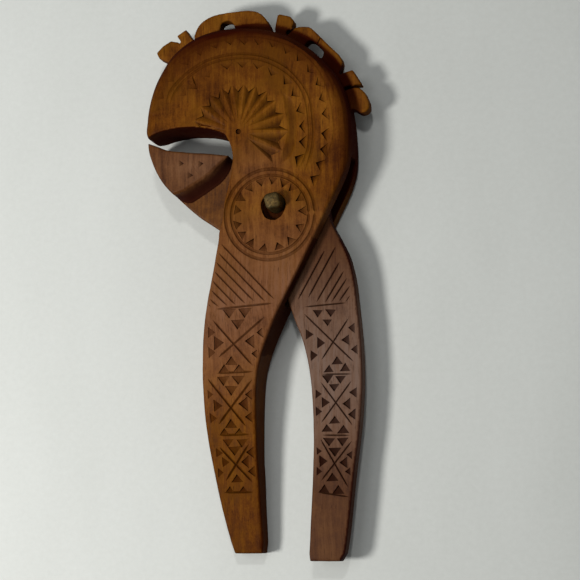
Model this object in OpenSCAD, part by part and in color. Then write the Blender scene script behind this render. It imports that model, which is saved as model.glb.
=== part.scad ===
// A lever nutcracker carved from wood. The fork lever is one piece: the round head with the
// upper jaw, a pierced crest, two pivot cheeks with a through-mortise, and the left handle.
// The board lever is a flat board that passes through the mortise: the lower jaw on one side
// and the right handle on the other. Two jaw pads thicken the lower jaw to the head's width,
// and a brass pin joins the levers. The front faces are chip carved. Millimetres.
// Origin: on the pin's axis, in the back face that the object lies on. +X right, +Y to the
// crest, +Z out of the carved face.

/* [Fork lever] */
// Thickness of the head and of the pivot, both cheeks and the mortise together
fork_t = 22; // [20:0.5:24]
// Thickness of the left handle at its free end
handle_end_t = 10; // [8:0.5:14]
// Rounding of the head's rim, front and back
rim_r = 4.5; // [3:0.25:5.5]
// Rounding of the left handle's long edges
edge_r = 1.2; // [0.6:0.1:2]
// How far the right wall of the pivot leans in from back to front
wall_lean = 2.2; // [0:0.2:2.6]

/* [Board lever] */
// Thickness of the board
board_t = 8; // [6:0.5:9]
// Play between the board and each cheek of the mortise
side_play = 0.2; // [0.15:0.05:0.4]
// Radius of the board's round shoulder inside the mortise
shoulder_r = 20.5; // [19:0.5:21]
// Rounding of the right handle's long edges
board_edge_r = 1; // [0.4:0.1:1.6]

/* [Jaw pads] */
// Rounding of a pad's outer edge
pad_edge_r = 0.7; // [0.3:0.1:1.2]
// Hollow of the pad's sloping shoulder, where 1 is a plain bevel
pad_cove = 0.7; // [0.5:0.05:1]

/* [Crest] */
// Thickness of the pierced fin on the head
crest_t = 6.5; // [4:0.5:9]

/* [Pivot pin] */
// Diameter of the brass pin
pin_d = 7.7; // [6:0.1:8]
// Height that the pin's hammered end stands out of the front cheek
pin_proud = 6; // [3:0.5:8]
// Running play round the pin in the board's hole, on the radius
pin_play = 0.06; // [0.03:0.01:0.1]
// Diameter of the worn hollow round the pin in the front cheek
worn_d = 10.2; // [9.8:0.1:11.5]
// Depth of the worn hollow
worn_depth = 3; // [1:0.5:5]

/* [Carving] */
// Depth of the grooves: the two rings, the arcs and the strokes on the handles
groove_depth = 0.45; // [0.3:0.05:0.6]
// Width of a groove at the surface
groove_w = 0.8; // [0.6:0.1:1.2]
// Depth of the fan's petals at their outer ends
petal_depth = 1; // [0.6:0.1:1.4]
// Depth of a chip at its apex
chip_depth = 0.7; // [0.4:0.1:1]

/* [Hidden] */

$fn = 96;
pin_r = pin_d / 2;
board_z = (fork_t - board_t) / 2;
pad_t = board_z;
mortise_t = board_t + 2 * side_play;
past = 5;           // how far a cutting tool runs past the wood
span_steps = 4;     // points along each span of a smooth curve
round_steps = 3;    // strips across a rounded edge
taper_t = fork_t - handle_end_t;

fork_wood = [0.47, 0.28, 0.15];
board_wood = [0.40, 0.26, 0.20];
pad_wood = [0.42, 0.22, 0.13];
brass = [0.60, 0.52, 0.26];

// The fork lever's blank from the top of the head to the end of the handle, one line for each
// station across it: Y, left X, right X, how much of the handle's taper is taken, how much of
// the rim's rounding is left (the rest is the handle's edge rounding), and the wall's lean.
// Between the mouth's tip and the cheek the left edge lies in the mouth and is cut away.
fork_stations = [
    [  75.8, -19.0, -15.0, 0.00, 1.0, 0.0],
    [  75.0, -27.5,  -8.0, 0.00, 1.0, 0.0],
    [  73.2, -33.8,  -0.5, 0.00, 1.0, 0.0],
    [  70.0, -39.7,   6.6, 0.00, 1.0, 0.0],
    [  65.5, -45.0,  13.3, 0.00, 1.0, 0.0],
    [  60.0, -49.0,  19.4, 0.00, 1.0, 0.0],
    [  53.0, -52.7,  25.2, 0.00, 1.0, 0.0],
    [  45.0, -55.1,  28.8, 0.00, 1.0, 0.0],
    [  37.0, -56.2,  30.6, 0.00, 1.0, 0.0],
    [  30.4, -55.9,  31.4, 0.00, 1.0, 0.1],
    [  23.0, -48.0,  31.7, 0.00, 0.8, 0.3],
    [  15.0, -40.0,  31.2, 0.00, 0.4, 0.6],
    [   7.0, -31.0,  28.8, 0.00, 0.2, 0.9],
    [  -2.0, -26.0,  24.5, 0.00, 0.1, 1.0],
    [ -12.0, -24.0,  19.5, 0.00, 0.0, 0.8],
    [ -21.0, -25.2,  14.2, 0.00, 0.0, 0.4],
    [ -31.0, -27.0,   8.6, 0.00, 0.0, 0.1],
    [ -39.0, -28.5,   4.2, 0.00, 0.0, 0.0],
    [ -47.0, -29.8,   0.1, 0.03, 0.0, 0.0],
    [ -55.0, -30.7,  -3.4, 0.11, 0.0, 0.0],
    [ -63.0, -31.2,  -6.4, 0.19, 0.0, 0.0],
    [ -72.0, -31.4,  -8.3, 0.28, 0.0, 0.0],
    [ -84.0, -31.1,  -9.0, 0.42, 0.0, 0.0],
    [ -97.0, -29.8,  -9.1, 0.59, 0.0, 0.0],
    [-110.0, -27.6,  -8.7, 0.73, 0.0, 0.0],
    [-124.0, -24.8,  -8.1, 0.86, 0.0, 0.0],
    [-138.0, -21.2,  -7.4, 0.97, 0.0, 0.0]
];
fork_end = [-142.6, -19.6, -7.8, 1, 0, 0];

// The roof of the mouth, from outside the beak's tip to the corner at the back
mouth_roof = [[-62, 27.2], [-55.6, 29.9], [-49.5, 32], [-43.5, 33.1], [-37.5, 33.4],
              [-31, 32.8], [-25.5, 31.5], [-21.3, 29.6]];
// The left edge of the cheeks, from the mouth's back corner down to the handle
throat = [[-21.3, 29.6], [-19.3, 25.6], [-18.1, 21], [-18.3, 14.5], [-19.8, 8],
          [-21.4, 1.5], [-22.2, -6], [-24.6, -14]];

// The mortise seen from the front: its upper and its lower wall run straight across the lever
mortise_walls = [[-45, 26.1], [45, 17.7], [15, -49.4], [-45, -11.2]];

// The crest: each feather is a closed outline whose foot lies inside the head
feather_low_left = [[-44, 62], [-49.4, 64.2], [-52.6, 66], [-53.7, 68.4], [-51, 71.2],
                    [-47.5, 73.3], [-44.2, 72.6], [-41.4, 70.4], [-38, 66]];
tooth_left = [[-39.5, 67], [-41.6, 70.6], [-44.9, 75.3], [-40.8, 77.9], [-37.9, 73.4], [-35, 70]];
lobe_top = [[-32, 68], [-36.8, 73.2], [-36.7, 76], [-35.3, 79], [-32.6, 81.5], [-28.7, 83.2],
            [-23.6, 84], [-18, 84.4], [-12.7, 84.4], [-9, 83.4], [-6.8, 81.6], [-5, 79],
            [-3.7, 76.2], [-3.4, 73.6], [-7, 68]];
tooth_top = [[-1, 70], [-2.1, 75.6], [-0.9, 81.6], [0.2, 82], [4.6, 80.7], [6, 79],
             [6.1, 77.6], [5.2, 75.8], [2.8, 74.4], [2.6, 68]];
lobe_right = [[2, 66], [4, 73.8], [7, 75.6], [9.8, 76], [12.8, 75.6], [14.8, 74.1], [17.4, 71.3],
              [21.2, 67.2], [24.6, 63.8], [26.3, 61.6], [26.9, 59.2], [26, 56],
              [24, 53.6], [17, 50]];
tooth_right = [[22, 51.5], [26.9, 55], [31.2, 56.2], [34.9, 50], [34.3, 49.6], [31, 49.8],
               [26, 48.6], [22, 46]];
feather_low_right = [[22, 45], [27.2, 47.6], [30.9, 49], [34, 48.4], [36.4, 46.2],
                     [38.1, 42.2], [38.2, 39.6], [36.8, 37.9], [34.4, 37.5], [31.6, 39.2],
                     [26, 38.6]];
// The two holes through the crest, down to the head's rim
hole_top = [[-26, 74], [-25.4, 78.8], [-24, 80.1], [-22, 80.4], [-20.2, 79.2], [-19.4, 77],
            [-19.2, 74]];
hole_right = [[9, 65], [11.4, 68.6], [13.3, 69.8], [15.2, 68.8], [17.2, 66.8], [18.8, 64.7],
              [18.6, 63], [17, 59]];

// The board from the jaw's tip, through the mortise, to the end of the right handle. Each
// station has a point on the inner edge, one on the outer edge, and the share of the edge
// rounding: none where the pads are glued on, little in the mortise, all along the handle.
jaw_stations = [
    [[-54.9, 25.8], [-54.7, 27.6], 0],
    [[-53.8, 21.6], [-50.3, 25.9], 0],
    [[-51.8, 16.5], [-46.6, 24.3], 0],
    [[-49, 11.5], [-41.5, 23.4], 0],
    [[-45.4, 6.9], [-34.8, 22.5], 0],
    [[-41.4, 2.8], [-27.5, 21.8], 0],
    [[-34.5, -3.3], [-19.4, 20.6], 0.2],
    [[-26.5, -8.8], [-10.5, 20.3], 0.4]
];
// Inner edge points beside the round shoulder, one for every shoulder_step degrees
under_shoulder = [[-20.5, -13.6], [-15, -18.9], [-9.5, -24.6], [-3.5, -31.2]];
handle_stations = [
    [[2.6, -37.6], [21.8, -7], 0.4],
    [[4.6, -42.2], [25.5, -14.2], 0.8],
    [[6.8, -48.4], [29.2, -22], 1],
    [[9.2, -54.4], [31.6, -31.5], 1],
    [[11, -60.4], [32.9, -42], 1],
    [[12.5, -67.6], [34.1, -54], 1],
    [[13.6, -76.6], [34.8, -67], 1],
    [[14.2, -87], [34.6, -80], 1],
    [[14.4, -98], [33.4, -94], 1],
    [[14.1, -110], [31.6, -108], 1],
    [[13.5, -122], [30, -122], 1],
    [[12.9, -134], [28.5, -135], 1],
    [[12.5, -142.6], [27.4, -142.4], 1]
];
handle_end = [[12.8, -145.6], [25.4, -145.6], 1];
shoulder_step = 30;

// A pad's outer edge, flush with the board: from the mouth's corner to the jaw's tip, and from
// there down the outside of the jaw
pad_top = [[-20, 20.7], [-27.5, 21.8], [-34.8, 22.5], [-41.5, 23.4], [-46.6, 24.3],
           [-50.3, 25.9], [-54.8, 27.6]];
pad_side = [[-54.8, 27.6], [-54.5, 24.2], [-53.3, 20.2], [-51, 14.8], [-48.4, 10.6],
            [-45.8, 7.4]];
// The pad's shoulder, from the mouth's corner to the outside of the jaw: where it meets the
// board, and where it meets the pad's own face. The last point closes the outside.
shoulder_foot = [[-19.7, 19.2], [-20.8, 15.2], [-24.2, 10.7], [-29.2, 7.2], [-34.2, 4],
                 [-37.8, 2.2], [-41.1, 2.9]];
shoulder_face = [[-21.3, 19.3], [-24.8, 16.4], [-28.4, 13.2], [-32.4, 10.6], [-36, 8.6],
                 [-38.8, 6.8], [-42, 5.6]];
pad_corner_foot = [-42.3, 3.8];
pad_corner_face = [-43.6, 5.2];
pad_levels = [0, 0.12, 0.3, 0.55, 0.8];

// The worn hollow leans towards the mouth's side, where the load pulls
worn_at = [-0.7, -1.05];

// The carving. The fan over the mouth: for each ridge its angle and its reach from the centre
fan_at = [-15.6, 30.5];
fan_ridges = [[178, 19], [163, 19.8], [145, 19.7], [128, 20.4], [112, 20.3], [98, 20.2],
              [83, 20], [68, 20.2], [53, 20.6], [37, 20.2], [18, 20.6], [-2, 21.3],
              [-26, 20.6], [-44, 20.4]];
fan_start = 4.4;
fan_notch = 16.8;
// The pair of arcs round the fan, and the arc along the rim
outer_arc = [[-44.3, 50.2], [-37.4, 57.1], [-28.3, 62.1], [-16.7, 63.8], [-5.5, 62.2],
             [4.2, 57.4], [10.8, 50.6], [14.6, 43], [16.1, 34.6], [16.2, 27.4], [15.2, 20.6]];
inner_arc = [[-42.6, 49.1], [-36.2, 55.5], [-27.7, 60.3], [-16.6, 62], [-6.2, 60.5],
             [2.9, 56], [9.3, 49.6], [12.9, 42.4], [14.4, 34.4], [14.5, 27.6], [13.5, 21.2]];
// Chips that point to the fan, in two rows
head_chips = [[-33.4, 49.6], [-20.2, 57.2], [-13.9, 57.6], [-7.6, 56.6], [-2, 53.6],
              [3.6, 49.6], [7, 44.4], [8.9, 37.9], [9.9, 31.3], [10.2, 25.2], [8, 18.6],
              [9.4, 59], [13.6, 53.9], [17, 48.4], [18.4, 42.2], [19.6, 35.8], [19.3, 27.8],
              [19, 21.6], [17.2, 15.8], [14.9, 10]];
// The rings about the pin, and the angles of the chips inside them
ring_at = [-2.1, -4.8];
ring_radii = [16.3, 18.9];
ring_chip_r = 12.5;
ring_chips = [126, 105, 85, 66, 48, 26, 3, -24, -52, -74, -101, -124, -146, -165, 171, 149];
// Strokes and bars on the two handles, each from one point to another
fork_strokes = [
    [[-22.4, -16.6], [-0.3, -39.9]], [[-23.5, -20.3], [-4, -40.8]],
    [[-24.8, -23.8], [-8.7, -40.5]], [[-25.5, -27.6], [-12.3, -41.5]],
    [[-26.5, -31.3], [-16.4, -41.9]], [[-26.8, -35.4], [-19.8, -42.2]],
    [[-24.3, -43.4], [-1, -41.6]], [[-24.9, -69.5], [-9.9, -69.1]],
    [[-24.6, -94.7], [-12.1, -94.4]], [[-23.2, -117.9], [-11.2, -117.8]],
    [[-26.1, -47.9], [-10, -66.4]], [[-4.4, -47.2], [-24, -63]],
    [[-28.8, -71.8], [-13.5, -91]], [[-10.2, -72.3], [-24.7, -90.1]],
    [[-24.8, -99.5], [-11.4, -113.6]], [[-12.5, -98.4], [-22.3, -113]]
];
board_strokes = [
    [[19.3, -19.7], [8.3, -39.4]], [[23.9, -18.4], [12.6, -38.7]],
    [[25.6, -24.5], [16, -40.7]], [[27.3, -28.4], [19.6, -41]],
    [[28.6, -31.4], [22.4, -40.7]], [[29.8, -34.6], [25.4, -40.7]],
    [[11.1, -42.6], [28.3, -41.4]], [[18.1, -70.4], [30.5, -70.5]],
    [[18.4, -95.1], [29.6, -95.3]], [[16.3, -118], [29.2, -120]],
    [[10.9, -45.6], [31.2, -65.5]], [[29.2, -47.8], [18.1, -64.4]],
    [[17.7, -73.7], [30.6, -91.1]], [[30.2, -73.5], [17.9, -90]],
    [[17.6, -96.8], [28.8, -116.1]], [[30.3, -97.7], [17.8, -113.4]]
];
// Chips on the handles: the apex, the direction it points to, and its size
fork_chips = [
    [-19.2, -47.4, -90, 1], [-12.6, -47.2, -90, 1], [-15.7, -51.8, -90, 1],
    [-18.8, -62.7, 90, 0.9], [-22, -66.1, 90, 0.9], [-15.6, -66, 90, 0.9],
    [-21.9, -57.2, 0, 1], [-12.7, -56.8, 180, 1], [-8, -53.4, 180, 0.9],
    [-10.2, -61.8, 180, 0.9], [-22.4, -74.6, -90, 1], [-16, -74.4, -90, 1],
    [-19.2, -78.6, -90, 1], [-19.6, -88, 90, 0.9], [-22.6, -91.8, 90, 0.9],
    [-16.4, -91.7, 90, 0.9], [-23.2, -82.6, 0, 0.9], [-16.2, -82.2, 180, 1],
    [-13.4, -78.4, 180, 0.8], [-13.7, -87.4, 180, 0.8], [-21.2, -99.4, -90, 0.8],
    [-15.4, -99.6, -90, 0.8], [-18.6, -103, -90, 1], [-17.8, -110.4, 90, 0.9],
    [-21, -115.6, 90, 0.8], [-15.4, -115.5, 90, 0.8], [-20.8, -105.6, 0, 0.8],
    [-16, -105.4, 180, 0.9]
];
board_chips = [
    [16.5, -47, -90, 0.7], [21.7, -46.8, -90, 0.7], [20.4, -50.8, -90, 0.7],
    [24.4, -63.4, 90, 0.8], [21, -66.8, 90, 0.7], [27.6, -66.2, 90, 0.8],
    [19.3, -57.6, 0, 0.8], [26.4, -56.6, 180, 0.8], [20.4, -74, -90, 0.8],
    [25.8, -74.2, -90, 0.8], [23.2, -77.6, -90, 0.8], [23.2, -87.4, 90, 0.8],
    [20.2, -90.8, 90, 0.8], [26.8, -91.2, 90, 0.8], [21.2, -81.8, 0, 0.8],
    [26.8, -82.6, 180, 0.8], [21, -99.6, -90, 0.8], [26.6, -99.6, -90, 0.8],
    [23.4, -103.8, -90, 0.8], [22.4, -110.4, 90, 0.8], [18.9, -115.2, 90, 0.8],
    [24.6, -115.4, 90, 0.8], [20.2, -105.6, 0, 0.8], [25.4, -106.4, 180, 0.8]
];
chip_size = [2.6, 1.8];     // a chip's length from base to apex, and half its base
stroke_run_out = 1.5;       // how far from its ends a stroke reaches its full depth
above = 0.2;                // how far the cuts reach out of the wood

// ---- Curves ----

// A point on the curve through b and c, at t from 0 to 1 between them, with a and d beside them
function on_span(a, b, c, d, t) =
    (2 * b + (c - a) * t + (2 * a - 5 * b + 4 * c - d) * t * t
     + (3 * b - 3 * c + d - a) * t * t * t) / 2;

// A smooth curve through all the points of a list
function smooth(points, steps = span_steps) = let (last = len(points) - 1) [
    for (i = [0 : last - 1], s = [0 : steps - 1])
        on_span(points[max(i - 1, 0)], points[i], points[i + 1], points[min(i + 2, last)],
                s / steps),
    points[last]
];

// A curve without its last point, which the next curve starts with
function open_end(points) = [for (i = [0 : len(points) - 2]) points[i]];

// The same points from last to first
function backwards(points) = [for (i = [len(points) - 1 : -1 : 0]) points[i]];

// The direction into the wood from a to b on a loop that runs clockwise seen from the front
function square_to(a, b) = [b.y - a.y, a.x - b.x] / norm([b.y - a.y, a.x - b.x]);

// How point i of such a loop moves when both edges beside it move into the wood by 1
function inwards(loop, i) =
    let (n = len(loop),
         q = square_to(loop[(i + n - 1) % n], loop[i]),
         r = square_to(loop[i], loop[(i + 1) % n]))
    (q + r) / (1 + q * r);

// ---- Solids with rounded edges ----

// Strips of a rounded edge from the face to the wall: how far in and how deep, for a radius of 1
strips = [for (s = [0 : round_steps])
    [1 - sin(90 * s / round_steps), 1 - cos(90 * s / round_steps)]];

// One loop of a rounded piece. Each point of its edge is [x, y, how far the rounding goes in,
// how deep it goes, Z of the front face, lean of the wall from back to front].
function edge_loop(edge, strip, at_front) = [for (i = [0 : len(edge) - 1])
    let (p = edge[i],
         z = at_front ? p[4] - strip[1] * p[3] : strip[1] * p[3],
         q = inwards(edge, i) * (strip[0] * p[2] + p[5] * z / p[4]))
    [p.x + q.x, p.y + q.y, z]];

function edge_loops(edge) = concat(
    [for (s = [0 : round_steps]) edge_loop(edge, strips[s], false)],
    [for (s = [round_steps : -1 : 0]) edge_loop(edge, strips[s], true)]);

// A closed skin over clockwise loops of points, the first at the back and the last in front.
// In each loop the left edge comes first, from the last station to the first one, and then the
// right edge back again, so that the two ends are closed by faces across the piece.
module skin(loops) {
    n = len(loops[0]);
    m = n / 2;
    top = (len(loops) - 1) * n;
    walls = [for (k = [0 : len(loops) - 2], i = [0 : n - 1])
        let (a = k * n + i, b = k * n + (i + 1) % n)
        each [[a, b, a + n], [b, b + n, a + n]]];
    back = [for (k = [0 : m - 2])
        let (l = m - 1 - k, r = m + k)
        each [[l, r + 1, r], [l, l - 1, r + 1]]];
    front = [for (f = back) [top + f[0], top + f[2], top + f[1]]];
    polyhedron(points = [for (loop = loops) each loop],
               faces = concat(walls, back, front), convexity = 10);
}

// ---- Fork lever ----

// The edge point at a station, on its left side (2nd number) or its right side (3rd number)
function fork_edge(station, side) =
    let (r = edge_r + (rim_r - edge_r) * station[4])
    [station[side], station[0], r, r, fork_t - taper_t * station[3],
     side == 2 ? wall_lean * station[5] : 0];

// The blank: head and handle in one, its front face tapering along the handle
module fork_blank() {
    stations = concat(smooth(fork_stations), [fork_end]);
    skin(edge_loops(concat([for (s = backwards(stations)) fork_edge(s, 1)],
                           [for (s = stations) fork_edge(s, 2)])));
}

module crest() {
    translate([0, 0, (fork_t - crest_t) / 2])
        linear_extrude(crest_t) {
            difference() {
                polygon(smooth(lobe_top));
                polygon(smooth(hole_top));
            }
            difference() {
                polygon(smooth(lobe_right));
                polygon(smooth(hole_right));
            }
            polygon(feather_low_left);
            polygon(tooth_left);
            polygon(tooth_top);
            polygon(tooth_right);
            polygon(feather_low_right);
        }
}

// The mouth and the left side of the cheeks, cut through the whole thickness
module mouth_cut() {
    translate([0, 0, -past])
        linear_extrude(fork_t + 2 * past)
            polygon(concat(open_end(smooth(mouth_roof)), smooth(throat), [[-70, -14]]));
}

module mortise_cut() {
    translate([0, 0, board_z - side_play])
        linear_extrude(mortise_t)
            polygon(mortise_walls);
}

// ---- Carving ----

// The unit vector at an angle
function towards(angle) = [cos(angle), sin(angle)];

// Height of the fork lever's front face at y, along the handle's taper
taper_table = [for (s = backwards(fork_stations)) [s[0], fork_t - taper_t * s[3]]];
function fork_face(y) = lookup(y, taper_table);

// A chip of three cuts on a face of height z, sloping up along Y by slope: deepest at its apex
module chip(apex, turned, size, z, slope = 0) {
    reach = 1 + above / chip_depth;
    back = -size * chip_size[0] * reach * towards(turned);
    side = size * chip_size[1] * reach * towards(turned + 90);
    a = back + side;
    b = back - side;
    translate([apex.x, apex.y, z])
        polyhedron(points = [[0, 0, -chip_depth], [0, 0, above], [a.x, a.y, above + slope * a.y],
                             [b.x, b.y, above + slope * b.y]],
                   faces = [[0, 1, 2], [0, 3, 1], [0, 2, 3], [1, 3, 2]]);
}

// A straight V-shaped stroke from a to b, where the face has the heights za and zb
module stroke(a, b, za, zb) {
    along = (b - a) / norm(b - a);
    half = groove_w / 2 * (1 + above / groove_depth) * [-along.y, along.x];
    run = stroke_run_out * along;
    rise = (zb - za) / norm(b - a) * stroke_run_out;
    polyhedron(points = [[each (a + half), za + above], [each (a - half), za + above],
                         [each (b - half), zb + above], [each (b + half), zb + above],
                         [each (a + run), za + rise - groove_depth],
                         [each (b - run), zb - rise - groove_depth]],
               faces = [[0, 3, 2], [0, 2, 1], [0, 1, 4], [2, 3, 5], [1, 2, 5], [1, 5, 4],
                        [3, 0, 4], [3, 4, 5]]);
}

// A V-shaped groove along a smooth line on the head's face
module arc_groove(points) {
    line = smooth(points, 3);
    last = len(line) - 1;
    half = groove_w / 2 * (1 + above / groove_depth);
    rings = [for (i = [0 : last])
        let (way = line[min(i + 1, last)] - line[max(i - 1, 0)],
             q = half * [-way.y, way.x] / norm(way),
             depth = i == 0 || i == last ? 0 : groove_depth)
        each [[each (line[i] + q), fork_t + above], [each (line[i] - q), fork_t + above],
              [each line[i], fork_t - depth]]];
    polyhedron(points = rings,
               faces = concat([[0, 1, 2], [3 * last + 2, 3 * last + 1, 3 * last]],
                              [for (i = [0 : last - 1], k = [0 : 2])
                                  let (a = 3 * i + k, b = 3 * i + (k + 1) % 3)
                                  each [[a, a + 3, b], [b, a + 3, b + 3]]]));
}

module ring_groove(radius) {
    half = groove_w / 2 * (1 + above / groove_depth);
    translate([ring_at.x, ring_at.y, fork_t])
        rotate_extrude($fn = 72)
            polygon([[radius - half, above], [radius, -groove_depth], [radius + half, above]]);
}

// A petal of the fan between two of its ridges, deepest at the notch in its outer edge
module petal(low, high) {
    reach = 1 + above / petal_depth;
    notch = fan_at + fan_notch * towards((low[0] + high[0]) / 2);
    rim = [for (p = [fan_at + fan_start * towards((low[0] + high[0]) / 2),
                     fan_at + low[1] * towards(low[0] - 1.2),
                     fan_at + high[1] * towards(high[0] + 1.2)])
        notch + reach * (p - notch)];
    polyhedron(points = [[each notch, fork_t - petal_depth], [each notch, fork_t + above],
                         for (p = rim) [each p, fork_t + above]],
               faces = [[0, 1, 3], [0, 4, 1], [0, 3, 2], [0, 2, 4], [1, 2, 3], [1, 4, 2]]);
}

module fork_carving() {
    for (i = [0 : len(fan_ridges) - 2])
        petal(fan_ridges[i], fan_ridges[i + 1]);
    arc_groove(outer_arc);
    arc_groove(inner_arc);
    for (at = head_chips)
        let (way = fan_at - at)
            chip(at, atan2(way.y, way.x), 0.9, fork_t);
    for (radius = ring_radii)
        ring_groove(radius);
    for (angle = ring_chips)
        chip(ring_at + ring_chip_r * towards(angle), angle + 180, 0.9, fork_t);
    for (s = fork_strokes)
        stroke(s[0], s[1], fork_face(s[0].y), fork_face(s[1].y));
    for (c = fork_chips)
        chip(c, c[2], c[3] * 0.9, fork_face(c.y), fork_face(c.y + 0.5) - fork_face(c.y - 0.5));
}

module board_carving() {
    for (s = board_strokes)
        stroke(s[0], s[1], board_z + board_t, board_z + board_t);
    for (c = board_chips)
        chip(c, c[2], c[3] * 0.9, board_z + board_t);
}

module fork_lever() {
    color(fork_wood)
        difference() {
            union() {
                fork_blank();
                crest();
            }
            fork_carving();
            mouth_cut();
            mortise_cut();
            translate([0, 0, -past])
                cylinder(r = pin_r, h = fork_t + 2 * past);
            translate([worn_at.x, worn_at.y, fork_t - worn_depth])
                cylinder(d = worn_d, h = worn_depth + past);
        }
}

// ---- Board lever ----

// The stations beside the board's round shoulder, from above the pin to the handle
shoulder_stations = [for (i = [0 : len(under_shoulder) - 1])
    let (a = 90 - shoulder_step * i)
    [under_shoulder[i], shoulder_r * [cos(a), sin(a)], 0.4]];

// An edge point of the board, with its share of the edge rounding
function board_edge(point, share) =
    [point.x, point.y, board_edge_r * share, board_edge_r, board_t, 0];

module board_lever() {
    stations = concat(smooth(concat(jaw_stations, shoulder_stations, handle_stations)),
                      [handle_end]);
    color(board_wood)
        translate([0, 0, board_z])
            difference() {
                skin(edge_loops(concat(
                    [for (s = backwards(stations)) board_edge(s[0], s[2])],
                    [for (s = stations) board_edge(s[1], s[2])])));
                translate([0, 0, -past])
                    cylinder(r = pin_r + pin_play, h = board_t + 2 * past);
                translate([0, 0, -board_z])
                    board_carving();
            }
}

// ---- Jaw pads ----

// The pad's outline at a share of its height: only the shoulder moves, in a hollow curve
function pad_loop(share) =
    let (moved = pow(share, pad_cove),
         corner = pad_corner_foot * (1 - moved) + pad_corner_face * moved,
         outside = concat(open_end(smooth(pad_top, 2)), smooth(concat(pad_side, [corner]), 2)),
         shoulder = smooth(shoulder_foot * (1 - moved) + shoulder_face * moved, 4))
    [for (p = concat(backwards(outside), shoulder)) [p.x, p.y, share * pad_t]];

// A pad lying on z = 0, its outer edge rounded
module pad() {
    face = pad_loop(1);
    skin(concat(
        [for (share = pad_levels) pad_loop(share)],
        [pad_loop(1 - pad_edge_r / pad_t)],
        [[for (i = [0 : len(face) - 1])
            let (q = inwards(face, i) * pad_edge_r) face[i] + [q.x, q.y, 0]]]));
}

module front_jaw_pad() {
    color(pad_wood)
        translate([0, 0, board_z + board_t])
            pad();
}

module back_jaw_pad() {
    color(pad_wood)
        translate([0, 0, board_z])
            mirror([0, 0, 1])
                pad();
}

// ---- Pivot pin ----

// A plain shank, flush with the back cheek, and a hammered end that bulges slightly
module pivot_pin() {
    top = fork_t + pin_proud;
    color(brass)
        rotate_extrude()
            polygon([[0, 0], [pin_r, 0], [pin_r, top - 1.6], [pin_r - 0.25, top - 0.7],
                     [pin_r - 0.9, top - 0.2], [pin_r - 2, top], [0, top]]);
}

fork_lever();
board_lever();
front_jaw_pad();
back_jaw_pad();
pivot_pin();
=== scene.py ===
"""A hand-carved wooden lever nutcracker, lying on its back on a pale table.

Two wooden levers cross at a brass pin. The fork lever is the round head with the upper jaw, the
crest and the left handle. The flat board lever passes through a mortise in it: the lower jaw,
thickened by two glued pads, and the right handle. The front faces are chip carved.
Everything is in metres, in the frame of the CAD model: origin on the pin's axis in the back
face, +X right, +Y to the crest, +Z out of the carved face. Sizes with MM, and the places and
sizes of all cuts, are written in millimetres.
"""
import math
import random

import bmesh
import bpy
from mathutils import Matrix, Vector, noise
from mathutils.bvhtree import BVHTree


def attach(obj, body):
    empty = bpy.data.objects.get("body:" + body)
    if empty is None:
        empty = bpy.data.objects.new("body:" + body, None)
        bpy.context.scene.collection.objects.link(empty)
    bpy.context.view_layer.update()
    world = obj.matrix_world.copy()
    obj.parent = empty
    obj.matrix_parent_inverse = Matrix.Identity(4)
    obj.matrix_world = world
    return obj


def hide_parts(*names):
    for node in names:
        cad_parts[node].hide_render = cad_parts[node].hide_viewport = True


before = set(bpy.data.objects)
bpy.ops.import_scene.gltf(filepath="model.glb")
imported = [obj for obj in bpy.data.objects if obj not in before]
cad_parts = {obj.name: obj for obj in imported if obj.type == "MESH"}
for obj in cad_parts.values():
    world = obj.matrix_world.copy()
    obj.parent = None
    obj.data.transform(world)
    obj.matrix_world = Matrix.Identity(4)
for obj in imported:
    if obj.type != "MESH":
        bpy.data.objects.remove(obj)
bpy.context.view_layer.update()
scene = bpy.context.scene
scene.view_settings.view_transform = "Standard"


# ---------------------------------------------------------------------------------------------
# The fork lever: head with the upper jaw, crest, two cheeks and the left handle in one piece of
# orange-brown fruitwood. Sawn and whittled, its edges worn round, the face chip carved with a
# small knife and oiled, so that old dirt sits in every cut.
# ---------------------------------------------------------------------------------------------
MM = 0.001


class Nodes:
    """Short calls for building one material."""

    NOISE_LOW, NOISE_HIGH = 0.3, 0.7    # the range that nearly all of a noise lies in

    def __init__(self, name):
        self.material = bpy.data.materials.new(name)
        self.material.use_nodes = True
        self.tree = self.material.node_tree
        self.shader = self.tree.nodes["Principled BSDF"]

    def add(self, kind, inputs=None, **settings):
        node = self.tree.nodes.new(kind)
        for key, value in settings.items():
            setattr(node, key, value)
        for key, value in (inputs or {}).items():
            self.put(value, node.inputs[key])
        return node

    def put(self, value, socket):
        if isinstance(value, bpy.types.NodeSocket):
            self.tree.links.new(value, socket)
        else:
            socket.default_value = value

    def maths(self, operation, a, b, clamp=False):
        return self.add("ShaderNodeMath", {0: a, 1: b}, operation=operation,
                        use_clamp=clamp).outputs[0]

    def between(self, value, low, high, out_low=0.0, out_high=1.0):
        return self.add("ShaderNodeMapRange",
                        {"Value": value, "From Min": low, "From Max": high,
                         "To Min": out_low, "To Max": out_high}).outputs["Result"]

    def spread(self, fac, out_low, out_high):
        """A noise's usual range, stretched to another."""
        return self.between(fac, self.NOISE_LOW, self.NOISE_HIGH, out_low, out_high)

    def mix(self, share, a, b):
        node = self.add("ShaderNodeMix", data_type="RGBA")
        self.put(share, node.inputs["Factor"])
        self.put(a, node.inputs[6])
        self.put(b, node.inputs[7])
        return node.outputs[2]

    def noise(self, where, scale, detail, roughness, squeeze=(1, 1, 1), turn=0.0):
        moved = self.add("ShaderNodeMapping",
                         {"Vector": where, "Scale": squeeze, "Rotation": (0, 0, turn)})
        return self.add("ShaderNodeTexNoise",
                        {"Vector": moved.outputs[0], "Scale": scale, "Detail": detail,
                         "Roughness": roughness}).outputs["Fac"]

    def painted(self, attribute):
        """A value that the mesh carries."""
        return self.add("ShaderNodeAttribute", attribute_name=attribute).outputs["Fac"]


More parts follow.
